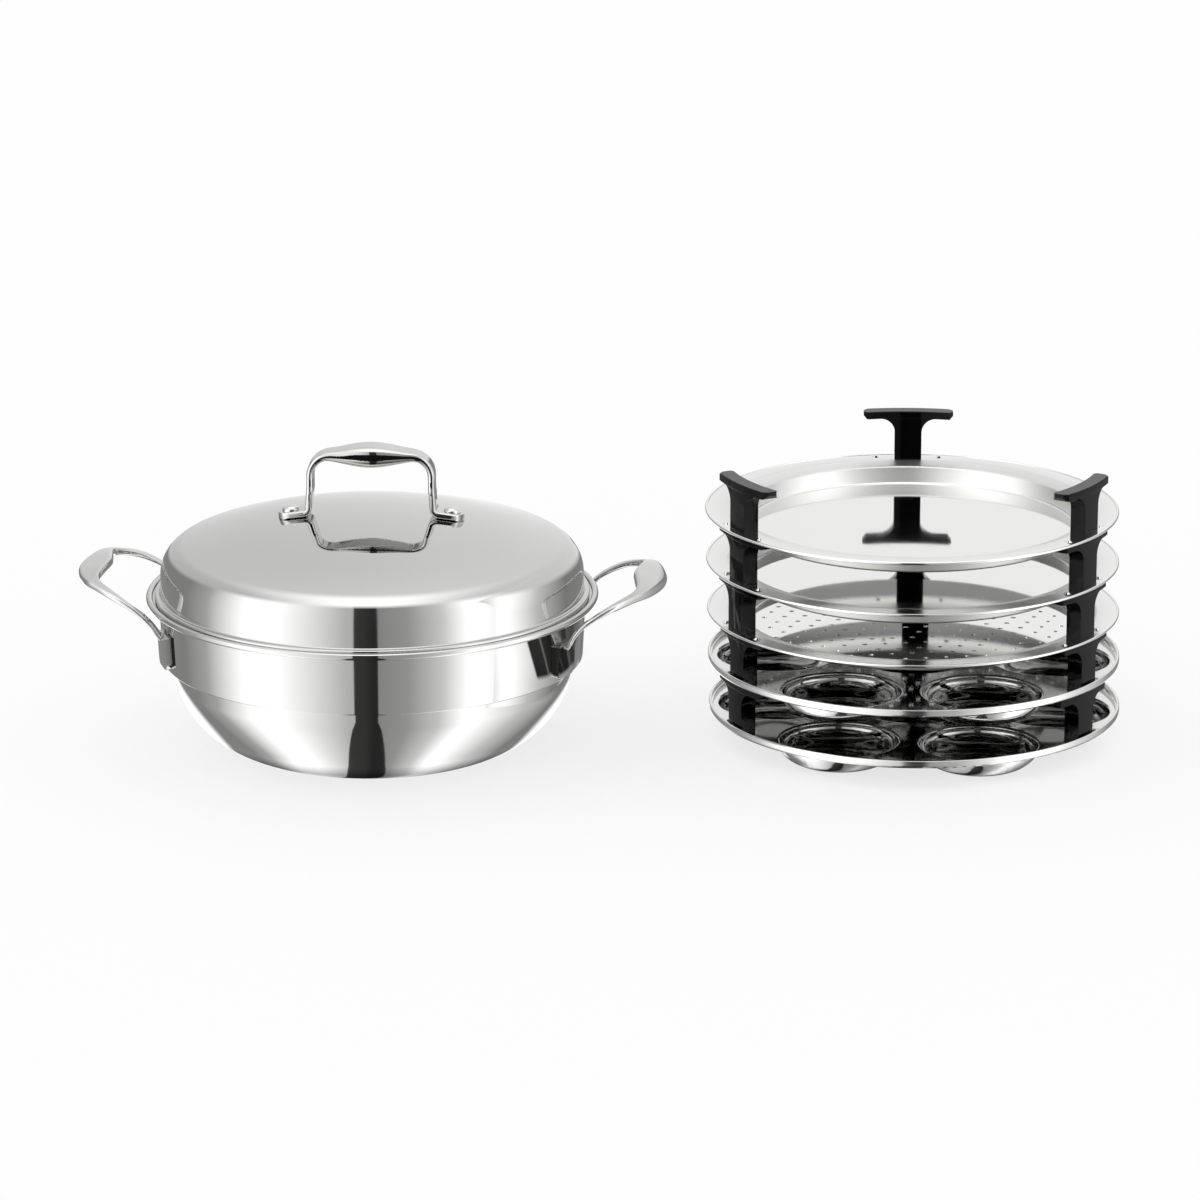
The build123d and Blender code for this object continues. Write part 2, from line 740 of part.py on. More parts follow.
def make_tee(number, place, azimuth):
    """Moulded T-handle: a post under a bar that follows the plate's rim."""
    base = stack_point(number, azimuth, post_ring_radius)
    angle = radians(azimuth + plate_turns[number - 1])
    outward = Vector(cos(angle), sin(angle), 0)
    along = Vector(-sin(angle), cos(angle), 0)
    level = plate_level(number)
    arm_level = tee_height - tee_thickness
    half_post = post_width / 2
    half_bar = tee_length / 2
    outer = post_ring_radius + tee_depth / 2
    inner = post_ring_radius - tee_depth / 2
    stack_plane = Plane(origin=(plate_x(number), stack_y, level))
    with BuildPart() as tee:
        with BuildSketch(Plane(origin=base, x_dir=along, z_dir=outward)):
            with BuildLine():
                FilletPolyline(
                    (-half_post, 0),
                    (half_post, 0),
                    (half_post, arm_level),
                    (half_bar - tee_end_chamfer, arm_level),
                    (half_bar, arm_level + tee_end_chamfer),
                    (half_bar, tee_height),
                    (-half_bar, tee_height),
                    (-half_bar, arm_level + tee_end_chamfer),
                    (-half_bar + tee_end_chamfer, arm_level),
                    (-half_post, arm_level),
                    radius=[0, 0, tee_fillet, 0, 0, 0, 0, 0, 0, tee_fillet],
                    close=True,
                )
            make_face()
        extrude(amount=tee_depth, both=True)
        with BuildSketch(stack_plane):
            Circle(outer)
            Circle(inner, mode=Mode.SUBTRACT)
        extrude(amount=tee_height, mode=Mode.INTERSECT)
        with BuildSketch(stack_plane):
            Circle(outer + overrun)
            Circle(post_ring_radius + post_depth / 2, mode=Mode.SUBTRACT)
        extrude(amount=arm_level, mode=Mode.SUBTRACT)
        with BuildSketch(stack_plane):
            Circle(post_ring_radius - post_depth / 2)
            Circle(inner - overrun, mode=Mode.SUBTRACT)
        extrude(amount=arm_level, mode=Mode.SUBTRACT)
        ends = tee.edges().filter_by(Axis.Z).filter_by(lambda edge: edge.length < tee_thickness)
        chamfer(ends, tee_corner_chamfer)
        chamfer(tee.edges().group_by(Axis.Z)[-1], tee_bevel)
        for side in (-mark_offset, mark_offset):
            origin = stack_point(number, azimuth, post_ring_radius, side, arm_level)
            with BuildSketch(Plane(origin=origin, x_dir=along, z_dir=(0, 0, 1))):
                Circle(tee_dimple_radius)
            extrude(amount=tee_dimple_depth, mode=Mode.SUBTRACT)
        with Locations(base):
            Cone(
                screw_head_radius - plate_sheet + fastener_clearance,
                screw_radius + fastener_clearance,
                screw_head_radius - plate_sheet - screw_radius,
                align=(Align.CENTER, Align.CENTER, Align.MIN),
                mode=Mode.SUBTRACT,
            )
            Cylinder(
                screw_radius + fastener_clearance,
                screw_length,
                align=(Align.CENTER, Align.CENTER, Align.MIN),
                mode=Mode.SUBTRACT,
            )
        with Locations(base + Vector(0, 0, insert_level)):
            Cylinder(
                insert_radius + fastener_clearance,
                insert_length,
                align=(Align.CENTER, Align.CENTER, Align.MIN),
                mode=Mode.SUBTRACT,
            )
    save(tee, f"plate_{number}_handle_{place}")


def make_screws(number):
    """Three countersunk screws that come up through the flange, flush below it."""
    head_height = screw_head_radius - screw_radius
    with BuildPart() as screws:
        for azimuth in post_azimuths.values():
            with Locations(stack_point(number, azimuth, post_ring_radius, lift=-plate_sheet)):
                Cone(
                    screw_head_radius,
                    screw_radius,
                    head_height,
                    align=(Align.CENTER, Align.CENTER, Align.MIN),
                )
                Cylinder(
                    screw_radius, screw_length, align=(Align.CENTER, Align.CENTER, Align.MIN)
                )
                Box(
                    2 * screw_radius,
                    screw_slot_width,
                    screw_slot_depth,
                    align=(Align.CENTER, Align.CENTER, Align.MIN),
                    mode=Mode.SUBTRACT,
                )
                Box(
                    screw_slot_width,
                    2 * screw_radius,
                    screw_slot_depth,
                    align=(Align.CENTER, Align.CENTER, Align.MIN),
                    mode=Mode.SUBTRACT,
                )
    save(screws, f"plate_{number}_screws")


def make_inserts(number):
    """Three threaded inserts, moulded into the posts, that the screws hold in."""
    with BuildPart() as inserts:
        for azimuth in post_azimuths.values():
            with Locations(stack_point(number, azimuth, post_ring_radius, lift=insert_level)):
                Cylinder(
                    insert_radius, insert_length, align=(Align.CENTER, Align.CENTER, Align.MIN)
                )
                Cylinder(
                    screw_radius + fastener_clearance,
                    insert_length,
                    align=(Align.CENTER, Align.CENTER, Align.MIN),
                    mode=Mode.SUBTRACT,
                )
    save(inserts, f"plate_{number}_inserts")


os.makedirs("parts", exist_ok=True)
make_pot_body()
make_pot_handle("pot_handle_right", handle_turn)
make_pot_handle("pot_handle_left", handle_turn + 180)
make_lid_shell()
make_lid_handle()
make_lid_rivets()
make_idli_tray(1)
make_idli_tray(2)
make_well_tray(3, holed_well_depth, holed=True)
make_well_tray(4, plain_well_depth, holed=False)
make_well_tray(5, plain_well_depth, holed=False)
for plate in range(1, plate_count + 1):
    for post_place, post_azimuth in post_azimuths.items():
        make_tee(plate, post_place, post_azimuth)
    make_screws(plate)
    make_inserts(plate)
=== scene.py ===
from math import atan2, cos, hypot, pi, radians, sin, sqrt, tan

import bpy
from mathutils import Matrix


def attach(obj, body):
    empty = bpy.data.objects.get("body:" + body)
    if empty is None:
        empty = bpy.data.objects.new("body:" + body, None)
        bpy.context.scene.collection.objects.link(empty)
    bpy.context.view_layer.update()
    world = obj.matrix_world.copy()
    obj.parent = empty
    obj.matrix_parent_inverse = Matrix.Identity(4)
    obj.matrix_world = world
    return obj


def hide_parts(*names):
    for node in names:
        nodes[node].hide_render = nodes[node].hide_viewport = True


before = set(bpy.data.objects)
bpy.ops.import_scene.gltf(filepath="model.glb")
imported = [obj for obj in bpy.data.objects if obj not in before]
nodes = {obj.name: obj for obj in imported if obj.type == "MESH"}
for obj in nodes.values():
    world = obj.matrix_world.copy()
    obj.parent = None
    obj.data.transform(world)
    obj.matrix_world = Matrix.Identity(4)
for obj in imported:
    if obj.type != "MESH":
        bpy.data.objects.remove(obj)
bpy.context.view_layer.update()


# Pot body: one disc of 18/8 stainless steel, spun on a lathe into a bowl, a ledge, a wall, a flat
# seat and a rolled rim. The outside is polished to a mirror, with the faintest rings left in it.
def linear_colour(code):
    """Linear RGBA of an sRGB hex colour."""
    parts = [int(code[i:i + 2], 16) / 255 for i in (1, 3, 5)]
    return [c / 12.92 if c <= 0.04045 else ((c + 0.055) / 1.055) ** 2.4 for c in parts] + [1]


def add_node(tree, kind, links=None, **settings):
    """Adds a node, sets its attributes, and links sockets or sets values on its inputs."""
    node = tree.nodes.new(kind)
    for key, value in settings.items():
        setattr(node, key, value)
    for key, value in (links or {}).items():
        if isinstance(value, bpy.types.NodeSocket):
            tree.links.new(value, node.inputs[key])
        else:
            node.inputs[key].default_value = value
    return node


def sheet_arc(centre, radii, start, sweep, inside=False, steps=36):
    """Part of an ellipse in a spun outline, as radius, height and the normal there."""
    points = []
    for step in range(steps + 1):
        angle = radians(start + sweep * step / steps)
        out, up = cos(angle) / radii[0], sin(angle) / radii[1]
        size = -hypot(out, up) if inside else hypot(out, up)
        points.append((centre[0] + radii[0] * cos(angle), centre[1] + radii[1] * sin(angle),
                       out / size, up / size))
    return points


def sheet_run(*corners):
    """Straight runs of a spun outline. A corner's third number is its radius; with none, it is
    sharp. The metal's skin faces to the right of the way along the run."""
    ways = []
    for here, there in zip(corners, corners[1:]):
        length = hypot(there[0] - here[0], there[1] - here[1])
        ways.append(((there[0] - here[0]) / length, (there[1] - here[1]) / length))
    points = [(*corners[0][:2], ways[0][1], -ways[0][0])]
    for corner, way, after in zip(corners[1:-1], ways, ways[1:]):
        if len(corner) < 3:
            points.append((*corner, way[1], -way[0]))
            points.append((*corner, after[1], -after[0]))
            continue
        bend = corner[2]
        turn = atan2(way[0] * after[1] - way[1] * after[0], way[0] * after[0] + way[1] * after[1])
        side = bend if turn > 0 else -bend
        back = bend * tan(abs(turn) / 2)
        centre = (corner[0] - back * way[0] - side * way[1],
                  corner[1] - back * way[1] + side * way[0])
        steps = max(2, round(abs(turn) / radians(9)))
        for step in range(steps + 1):
            angle = turn * step / steps
            along = (way[0] * cos(angle) - way[1] * sin(angle),
                     way[0] * sin(angle) + way[1] * cos(angle))
            points.append((centre[0] + side * along[1], centre[1] - side * along[0],
                           along[1], -along[0]))
    points.append((*corners[-1][:2], ways[-1][1], -ways[-1][0]))
    return points


def spun_piece(name, forms, body, stands_for, material):
    """Turns each outline about its upright axis into one mesh, with the outline's own normals,
    so that the polish shows no facets. It stands for the CAD node of the same piece."""
    corners, faces, normals = [], [], []
    for outline, (x, y, z), turns in forms:
        first = len(corners)
        for radius, height, out, up in outline:
            for turn in range(turns):
                angle = 2 * pi * turn / turns
                corners.append(((x + radius * cos(angle)) / 1000, (y + radius * sin(angle)) / 1000,
                                (z + height) / 1000))
                normals.append((out * cos(angle), out * sin(angle), up))
        for ring, (here, there) in enumerate(zip(outline, outline[1:])):
            if hypot(there[0] - here[0], there[1] - here[1]) < 1e-6:
                continue
            low = first + ring * turns
            high = low + turns
            for turn in range(turns):
                after = (turn + 1) % turns
                if there[0] < 1e-6:
                    faces.append((low + turn, low + after, high + turn))
                elif here[0] < 1e-6:
                    faces.append((low + turn, high + after, high + turn))
                else:
                    faces.append((low + turn, low + after, high + after, high + turn))
    mesh = bpy.data.meshes.new(name)
    mesh.from_pydata(corners, [], faces)
    mesh.polygons.foreach_set("use_smooth", [True] * len(mesh.polygons))
    mesh.normals_split_custom_set_from_vertices(normals)
    mesh.materials.append(material)
    piece = bpy.data.objects.new(name, mesh)
    bpy.context.scene.collection.objects.link(piece)
    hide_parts(stands_for)
    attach(piece, body)
    return piece


def lathe_steel(name, colour, roughness, axis=(0, 0), ring_mm=1.4, ring_depth_mm=0.0012, haze=0.03):
    """Stainless steel polished on a lathe: a mirror, with rings about the axis too fine to be
    counted and a slight haze where it has been wiped. Real polishing rings are 0.1 mm apart;
    here they are coarser, because finer ones would not show."""
    material = bpy.data.materials.new(name)
    material.use_nodes = True
    tree = material.node_tree
    shader = tree.nodes["Principled BSDF"]
    wipe_mm = 40
    place = add_node(tree, "ShaderNodeNewGeometry").outputs["Position"]
    from_axis = add_node(tree, "ShaderNodeVectorMath", {0: place, 1: (axis[0], axis[1], 0)},
                         operation="SUBTRACT")
    split = add_node(tree, "ShaderNodeSeparateXYZ", {0: from_axis.outputs[0]})
    flat = add_node(tree, "ShaderNodeCombineXYZ", {0: split.outputs[0], 1: split.outputs[1]})
    reach = add_node(tree, "ShaderNodeVectorMath", {0: flat.outputs[0]}, operation="LENGTH")
    ring = add_node(tree, "ShaderNodeCombineXYZ", {0: reach.outputs["Value"], 2: split.outputs[2]})
    rings = add_node(tree, "ShaderNodeTexNoise",
                     {"Vector": ring.outputs[0], "Scale": 1000 / ring_mm, "Detail": 1.0})
    bump = add_node(tree, "ShaderNodeBump", {"Height": rings.outputs["Fac"], "Strength": 0.3,
                                             "Distance": ring_depth_mm / 1000})
    wiped = add_node(tree, "ShaderNodeTexNoise", {"Vector": place, "Scale": 1000 / wipe_mm,
                                                  "Detail": 4.0})
    worn = add_node(tree, "ShaderNodeMapRange", {"Value": wiped.outputs["Fac"], "From Min": 0.4,
                                                 "From Max": 0.75, "To Min": roughness,
                                                 "To Max": roughness + haze})
    tree.links.new(bump.outputs[0], shader.inputs["Normal"])
    tree.links.new(worn.outputs[0], shader.inputs["Roughness"])
    shader.inputs["Base Color"].default_value = linear_colour(colour)
    shader.inputs["Metallic"].default_value = 1.0
    return material


base_radius, bowl_radius, bowl_height, pot_base_sheet, pot_sheet = 62, 120.3, 55, 2.4, 1.2
ledge_radius, ledge_height, ledge_corner, wall_radius, wall_bend = 126.6, 56.5, 0.8, 128.5, 1.5
seat_height, rim_reach, rim_bead, rim_bead_lift = 94, 136, 2, 0.3
bowl_reach = bowl_radius - base_radius
bead_centre, bead_level = rim_reach - rim_bead, seat_height + rim_bead_lift
pot_outline = (
    sheet_run((0, 0), (base_radius, 0))
    + sheet_arc((base_radius, bowl_height), (bowl_reach, bowl_height), 270, 90)
    + sheet_run((bowl_radius, bowl_height), (ledge_radius, ledge_height, ledge_corner),
                (wall_radius, seat_height - pot_sheet, wall_bend),
                (bead_centre, bead_level - rim_bead))
    + sheet_arc((bead_centre, bead_level), (rim_bead, rim_bead), 270, 270)
    + sheet_run((bead_centre - rim_bead, bead_level), (bead_centre - rim_bead, seat_height),
                (wall_radius - pot_sheet, seat_height),
                (ledge_radius - pot_sheet, ledge_height + pot_sheet),
                (bowl_radius - pot_sheet, bowl_height + pot_sheet),
                (bowl_radius - pot_sheet, bowl_height))
    + sheet_arc((base_radius, bowl_height),
                (bowl_reach - pot_sheet, bowl_height - pot_base_sheet), 0, -90, inside=True)
    + sheet_run((base_radius, pot_base_sheet), (0, pot_base_sheet))
)
steel_colour = "#cacac8"
pot_steel = lathe_steel("mirror-polished pot steel", steel_colour, 0.03)
spun_piece("pot_body_spun", [(pot_outline, (0, 0, 0), 360)], "pot", "pot_body",
           pot_steel)


# Pot handles: two loops cast in stainless steel, ground smooth and buffed, with two flat feet
# each, welded to the wall. Buffing leaves them bright but a little wavy.
def buffed_casting(name, colour, roughness, wave_mm, wave_depth_mm):
    """Cast stainless steel buffed on a soft wheel: long shallow waves from the casting bend its
    reflections, and fine buffing marks soften them."""
    material = bpy.data.materials.new(name)
    material.use_nodes = True
    tree = material.node_tree
    shader = tree.nodes["Principled BSDF"]
    mark_mm, mark_depth_mm, wear = 0.9, 0.002, 0.05
    place = add_node(tree, "ShaderNodeNewGeometry").outputs["Position"]
    waves = add_node(tree, "ShaderNodeTexNoise", {"Vector": place, "Scale": 1000 / wave_mm,
                                                  "Detail": 1.0})
    marks = add_node(tree, "ShaderNodeTexNoise", {"Vector": place, "Scale": 1000 / mark_mm,
                                                  "Detail": 2.0})
    wavy = add_node(tree, "ShaderNodeBump", {"Height": waves.outputs["Fac"], "Strength": 0.5,
                                             "Distance": wave_depth_mm / 1000})
    bump = add_node(tree, "ShaderNodeBump", {"Height": marks.outputs["Fac"], "Strength": 0.1,
                                             "Distance": mark_depth_mm / 1000,
                                             "Normal": wavy.outputs[0]})
    worn = add_node(tree, "ShaderNodeMapRange", {"Value": waves.outputs["Fac"], "From Min": 0.35,
                                                 "From Max": 0.7, "To Min": roughness,
                                                 "To Max": roughness + wear})
    tree.links.new(bump.outputs[0], shader.inputs["Normal"])
    tree.links.new(worn.outputs[0], shader.inputs["Roughness"])
    shader.inputs["Base Color"].default_value = linear_colour(colour)
    shader.inputs["Metallic"].default_value = 1.0
    return material


def dress(piece, material):
    """Gives a CAD node its finish."""
    nodes[piece].data.materials.clear()
    nodes[piece].data.materials.append(material)


handle_steel = buffed_casting("buffed cast steel", "#cececc", 0.02, 12, 0.12)
dress("pot_handle_left", handle_steel)
dress("pot_handle_right", handle_steel)

# Lid: a dome, a shoulder and a straight wall, pressed and spun from thinner stainless sheet, with
# a hem that lies on the pot's seat. Polished like the pot.
lid_sheet, lid_wall_radius, crown_height, dome_radius, shoulder_radius = 0.8, 127.2, 145, 360, 19
dome_centre = crown_height - dome_radius
shoulder_centre = lid_wall_radius - shoulder_radius
shoulder_level = dome_centre + sqrt((dome_radius - shoulder_radius) ** 2 - shoulder_centre ** 2)
shoulder_end = atan2(shoulder_level - dome_centre, shoulder_centre) * 180 / pi
hem_clearance, hem_height, hem_bend, wall_taper = 1, 3.2, 1.5, 0.4
hem_reach, wall_bottom = rim_reach - 2 * rim_bead - hem_clearance, lid_wall_radius + wall_taper
hem_round = hem_height / 2
lid_outline = (
    sheet_run((wall_bottom - lid_sheet, seat_height), (hem_reach - hem_round, seat_height))
    + sheet_arc((hem_reach - hem_round, seat_height + hem_round), (hem_round, hem_round), 270, 180,
                steps=16)
    + sheet_run((hem_reach - hem_round, seat_height + hem_height),
                (wall_bottom, seat_height + hem_height, hem_bend),
                (lid_wall_radius, shoulder_level))
    + sheet_arc((shoulder_centre, shoulder_level), (shoulder_radius, shoulder_radius), 0,
                shoulder_end, steps=24)
    + sheet_arc((0, dome_centre), (dome_radius, dome_radius), shoulder_end, 90 - shoulder_end,
                steps=24)[:-1]
    + [(0, crown_height, 0, 1), (0, crown_height - lid_sheet, 0, -1)]
    + sheet_arc((0, dome_centre), (dome_radius - lid_sheet, dome_radius - lid_sheet), 90,
                shoulder_end - 90, inside=True, steps=24)[1:]
    + sheet_arc((shoulder_centre, shoulder_level),
                (shoulder_radius - lid_sheet, shoulder_radius - lid_sheet), shoulder_end,
                -shoulder_end, inside=True, steps=24)
    + sheet_run((lid_wall_radius - lid_sheet, shoulder_level),
                (wall_bottom - lid_sheet, seat_height))
)
lid_steel = lathe_steel("mirror-polished lid steel", steel_colour, 0.04)
spun_piece("lid_shell_spun", [(lid_outline, (0, 0, 0), 360)], "lid", "lid_shell",
           lid_steel)

# Lid handle: a flat stainless bar bent up from two feet, forged thicker in the middle as a grip,
# and buffed all over, so that its faces carry long light and dark bands.
lid_handle_steel = buffed_casting("buffed forged bar", "#cececc", 0.02, 16, 0.06)
dress("lid_handle", lid_handle_steel)

# Lid rivets: two round-headed stainless rivets, set through the handle's feet and the lid's
# sheet. Their heads are buffed with the handle, so each shows a small copy of the tent.
rivet_steel = buffed_casting("buffed rivet steel", "#dcdcda", 0.05, 4, 0.02)
dress("lid_rivets", rivet_steel)

# Idli plates: the two lower plates, stamped from stainless sheet with seven cups and a raised
# lip. The lip is polished; the drawn cups are coloured darker, a painted shade in them.
stack_x, stack_y, plate_count, plate_slip = 327, 29, 5, 0.75
plate_radius, plate_sheet = 125, 0.8
plate_colour = "#efefed"


def plate_x(number):
    """Middle of a plate, which stands a little to the side of the one that carries it."""
    return stack_x + plate_slip * ((plate_count + 1) / 2 - number)


def stamped_steel(name, number, shades, roughnesses, ring_depth_mm=0.004):
    """Stainless plate steel as it leaves the press and the buffing wheel. Its shade and its
    roughness change with the distance in millimetres from the plate's axis."""
    material = lathe_steel(name, plate_colour, 0.04, (plate_x(number) / 1000, stack_y / 1000), 2.2,
                           ring_depth_mm, 0.02)
    tree = material.node_tree
    shader = tree.nodes["Principled BSDF"]
    reach = next(n for n in tree.nodes if n.type == "VECT_MATH" and n.operation == "LENGTH")
    ramp_reach = plate_radius + 1
    share = add_node(tree, "ShaderNodeMath", {0: reach.outputs["Value"], 1: 1000 / ramp_reach},
                     operation="MULTIPLY")
    wiped = shader.inputs["Roughness"].links[0].from_socket
    for stops, used_for in ((shades, "Base Color"), (roughnesses, "Roughness")):
        ramp = add_node(tree, "ShaderNodeValToRGB", {0: share.outputs[0]})
        for index, (radius, value) in enumerate(stops):
            stop = ramp.color_ramp.elements[index] if index < 2 else ramp.color_ramp.elements.new(1)
            stop.position = radius / ramp_reach
            stop.color = linear_colour(value) if isinstance(value, str) else [value] * 3 + [1]
        if used_for == "Base Color":
            tree.links.new(ramp.outputs["Color"], shader.inputs[used_for])
        else:
            total = add_node(tree, "ShaderNodeMath", {0: ramp.outputs["Color"], 1: wiped},
                             operation="ADD")
            tree.links.new(total.outputs[0], shader.inputs[used_for])
    return material


for number in (1, 2):
    dress(f"plate_{number}_tray", stamped_steel(
        f"idli plate {number} steel", number,
        # Painted shade: the cups, out to 110 mm, are coloured darker than the lip.
        ((0, "#b8b8b6"), (110, "#b8b8b6"), (116, "#e4e4e2"), (126, "#ececea")),
        ((0, 0.03), (110, 0.03), (118, 0.06), (126, 0.08))))

# Perforated plate: the middle one, with a flat floor of small round holes inside a flat flange.
# Its floor is as bright as a mirror, and the well's wall keeps fine rings from the press.
well_shades = ((0, plate_colour), (99, plate_colour), (104, "#dcdcda"), (126, "#f2f2f0"))
well_roughnesses = ((0, 0.0), (98, 0.0), (100, 0.32), (110, 0.32), (114, 0.06), (126, 0.06))
dress("plate_3_tray", stamped_steel("perforated plate steel", 3, well_shades, well_roughnesses))

# Plain plates: the upper two, pressed into a deeper flat-floored well. Two marks are pressed up
# beside each post, and the edge is rolled over.
well_depth, edge_bead, flange_inner, well_top, well_floor = 12, 0.9, 111.5, 103, 99.5
well_step, tight_bend, wide_bend = 2.4, 1.6, 2.4
edge_inset = plate_radius - edge_bead - sqrt(edge_bead ** 2 - (plate_sheet / 2) ** 2)
edge_lean = atan2(plate_sheet / 2, sqrt(edge_bead ** 2 - (plate_sheet / 2) ** 2)) * 180 / pi
under = plate_sheet - 0.02
well_outline = (
    sheet_run((0, -well_depth - plate_sheet),
              (well_floor + plate_sheet, -well_depth - plate_sheet, wide_bend),
              (well_top + plate_sheet, -well_step - plate_sheet, tight_bend),
              (flange_inner, -under, tight_bend), (edge_inset, -under))
    + sheet_arc((plate_radius - edge_bead, -plate_sheet / 2), (edge_bead, edge_bead),
                180 + edge_lean, 360 - 2 * edge_lean, steps=20)
    + sheet_run((edge_inset, 0), (flange_inner, 0, tight_bend), (well_top, -well_step, wide_bend),
                (well_floor, -well_depth, tight_bend), (0, -well_depth))
)
mark_radius, mark_crown_radius, mark_height, mark_root = 2.4, 1.2, 1, 0.1
mark_outline = sheet_run((mark_radius, -mark_root), (mark_radius, 0),
                         (mark_crown_radius, mark_height), (0, mark_height))
post_inset, mark_offset, lowest_level, plate_pitch = 8, 20, 14.4, 31.4
plate_turns = (-5.2, -3.5, -4, -2.5, -1.6)
for number in (4, 5):
    level = lowest_level + plate_pitch * (number - 1)
    forms = [(well_outline, (plate_x(number), stack_y, level), 360)]
    for azimuth in (90, 210, 330):
        angle = radians(azimuth + plate_turns[number - 1])
        for side in (-mark_offset, mark_offset):
            x = plate_x(number) + (plate_radius - post_inset) * cos(angle) - side * sin(angle)
            y = stack_y + (plate_radius - post_inset) * sin(angle) + side * cos(angle)
            forms.append((mark_outline, (x, y, level), 24))
    spun_piece(f"plate_{number}_tray_spun", forms, f"plate_{number}",
               f"plate_{number}_tray",
               stamped_steel(f"plain plate {number} steel", number, well_shades, well_roughnesses))

# T-handles: fifteen posts under curved bars, moulded in black phenolic resin. The mould's polish
# makes them glossy, and their edges catch thin lines of light.
phenolic = bpy.data.materials.new("moulded black phenolic")
phenolic.use_nodes = True
tree = phenolic.node_tree
shader = tree.nodes["Principled BSDF"]
edge_mm, flow_mm, flow_depth_mm, dust_mm = 0.5, 6, 0.01, 1.5
place = add_node(tree, "ShaderNodeNewGeometry").outputs["Position"]
rounded = add_node(tree, "ShaderNodeBevel", {"Radius": edge_mm / 1000}, samples=4)
flow = add_node(tree, "ShaderNodeTexNoise", {"Vector": place, "Scale": 1000 / flow_mm,
                                             "Detail": 2.0})
skin = add_node(tree, "ShaderNodeBump", {"Height": flow.outputs["Fac"], "Strength": 0.3,
                                         "Distance": flow_depth_mm / 1000,
                                         "Normal": rounded.outputs[0]})
dust = add_node(tree, "ShaderNodeTexNoise", {"Vector": place, "Scale": 1000 / dust_mm,
                                             "Detail": 3.0})
dull = add_node(tree, "ShaderNodeMapRange", {"Value": dust.outputs["Fac"], "From Min": 0.5,
                                             "From Max": 0.8, "To Min": 0.05, "To Max": 0.12})
tree.links.new(skin.outputs[0], shader.inputs["Normal"])
tree.links.new(dull.outputs[0], shader.inputs["Roughness"])
shader.inputs["Base Color"].default_value = linear_colour("#040404")
shader.inputs["IOR"].default_value = 1.45
shader.inputs["Specular IOR Level"].default_value = 0.2
for number in range(1, plate_count + 1):
    for place_name in ("rear", "left", "right"):
        dress(f"plate_{number}_handle_{place_name}", phenolic)

# Screws: a countersunk steel screw comes up through the flange into each post. Its turned head
# lies flush with the sheet and is duller than the plate round it.
screw_steel = buffed_casting("turned screw steel", "#b8b8b6", 0.2, 1.5, 0.01)
for number in range(1, plate_count + 1):
    dress(f"plate_{number}_screws", screw_steel)

# Inserts: a threaded brass sleeve, turned from bar and moulded into each post, holds the screw.
# It can't be seen from outside.
insert_brass = buffed_casting("turned insert brass", "#c9a45c", 0.25, 1.5, 0.02)
for number in range(1, plate_count + 1):
    dress(f"plate_{number}_inserts", insert_brass)


# Studio: a white tent over pale paper. Two light panels beside the camera show in the pot as
# broad soft bands, with a dark gap between them where the camera stands. The polish sees the tent
# below the paper too, so that its bands run on down the bowl.
camera_aim = (-0.045, 0.957, -0.285)
panel_shift, gap_shift = 3.8, 3.0
panel_tones = (
    (-180, 0.15), (-102, 0.19), (-85, 0.33), (-62, 1.0), (-44, 1.0), (-12, 0.42), (-4, 0.38),
    (1, 0.21), (16, 0.27), (32, 0.53), (44, 1.0), (53, 1.0), (82, 0.48), (115, 0.17), (180, 0.15),
)


def tone_ramp(tree, place, tones, start, span):
    """Ramp of greys along a way that starts and spans as given, from the place on it, 0 to 1."""
    ramp = add_node(tree, "ShaderNodeValToRGB", {0: place})
    for index, (where, brightness) in enumerate(tones):
        share = (where - start) / span
        if index in (0, len(tones) - 1):
            stop = ramp.color_ramp.elements[0 if index == 0 else -1]
            stop.position = share
        else:
            stop = ramp.color_ramp.elements.new(share)
        stop.color = (brightness, brightness, brightness, 1)
    return ramp.outputs["Color"]


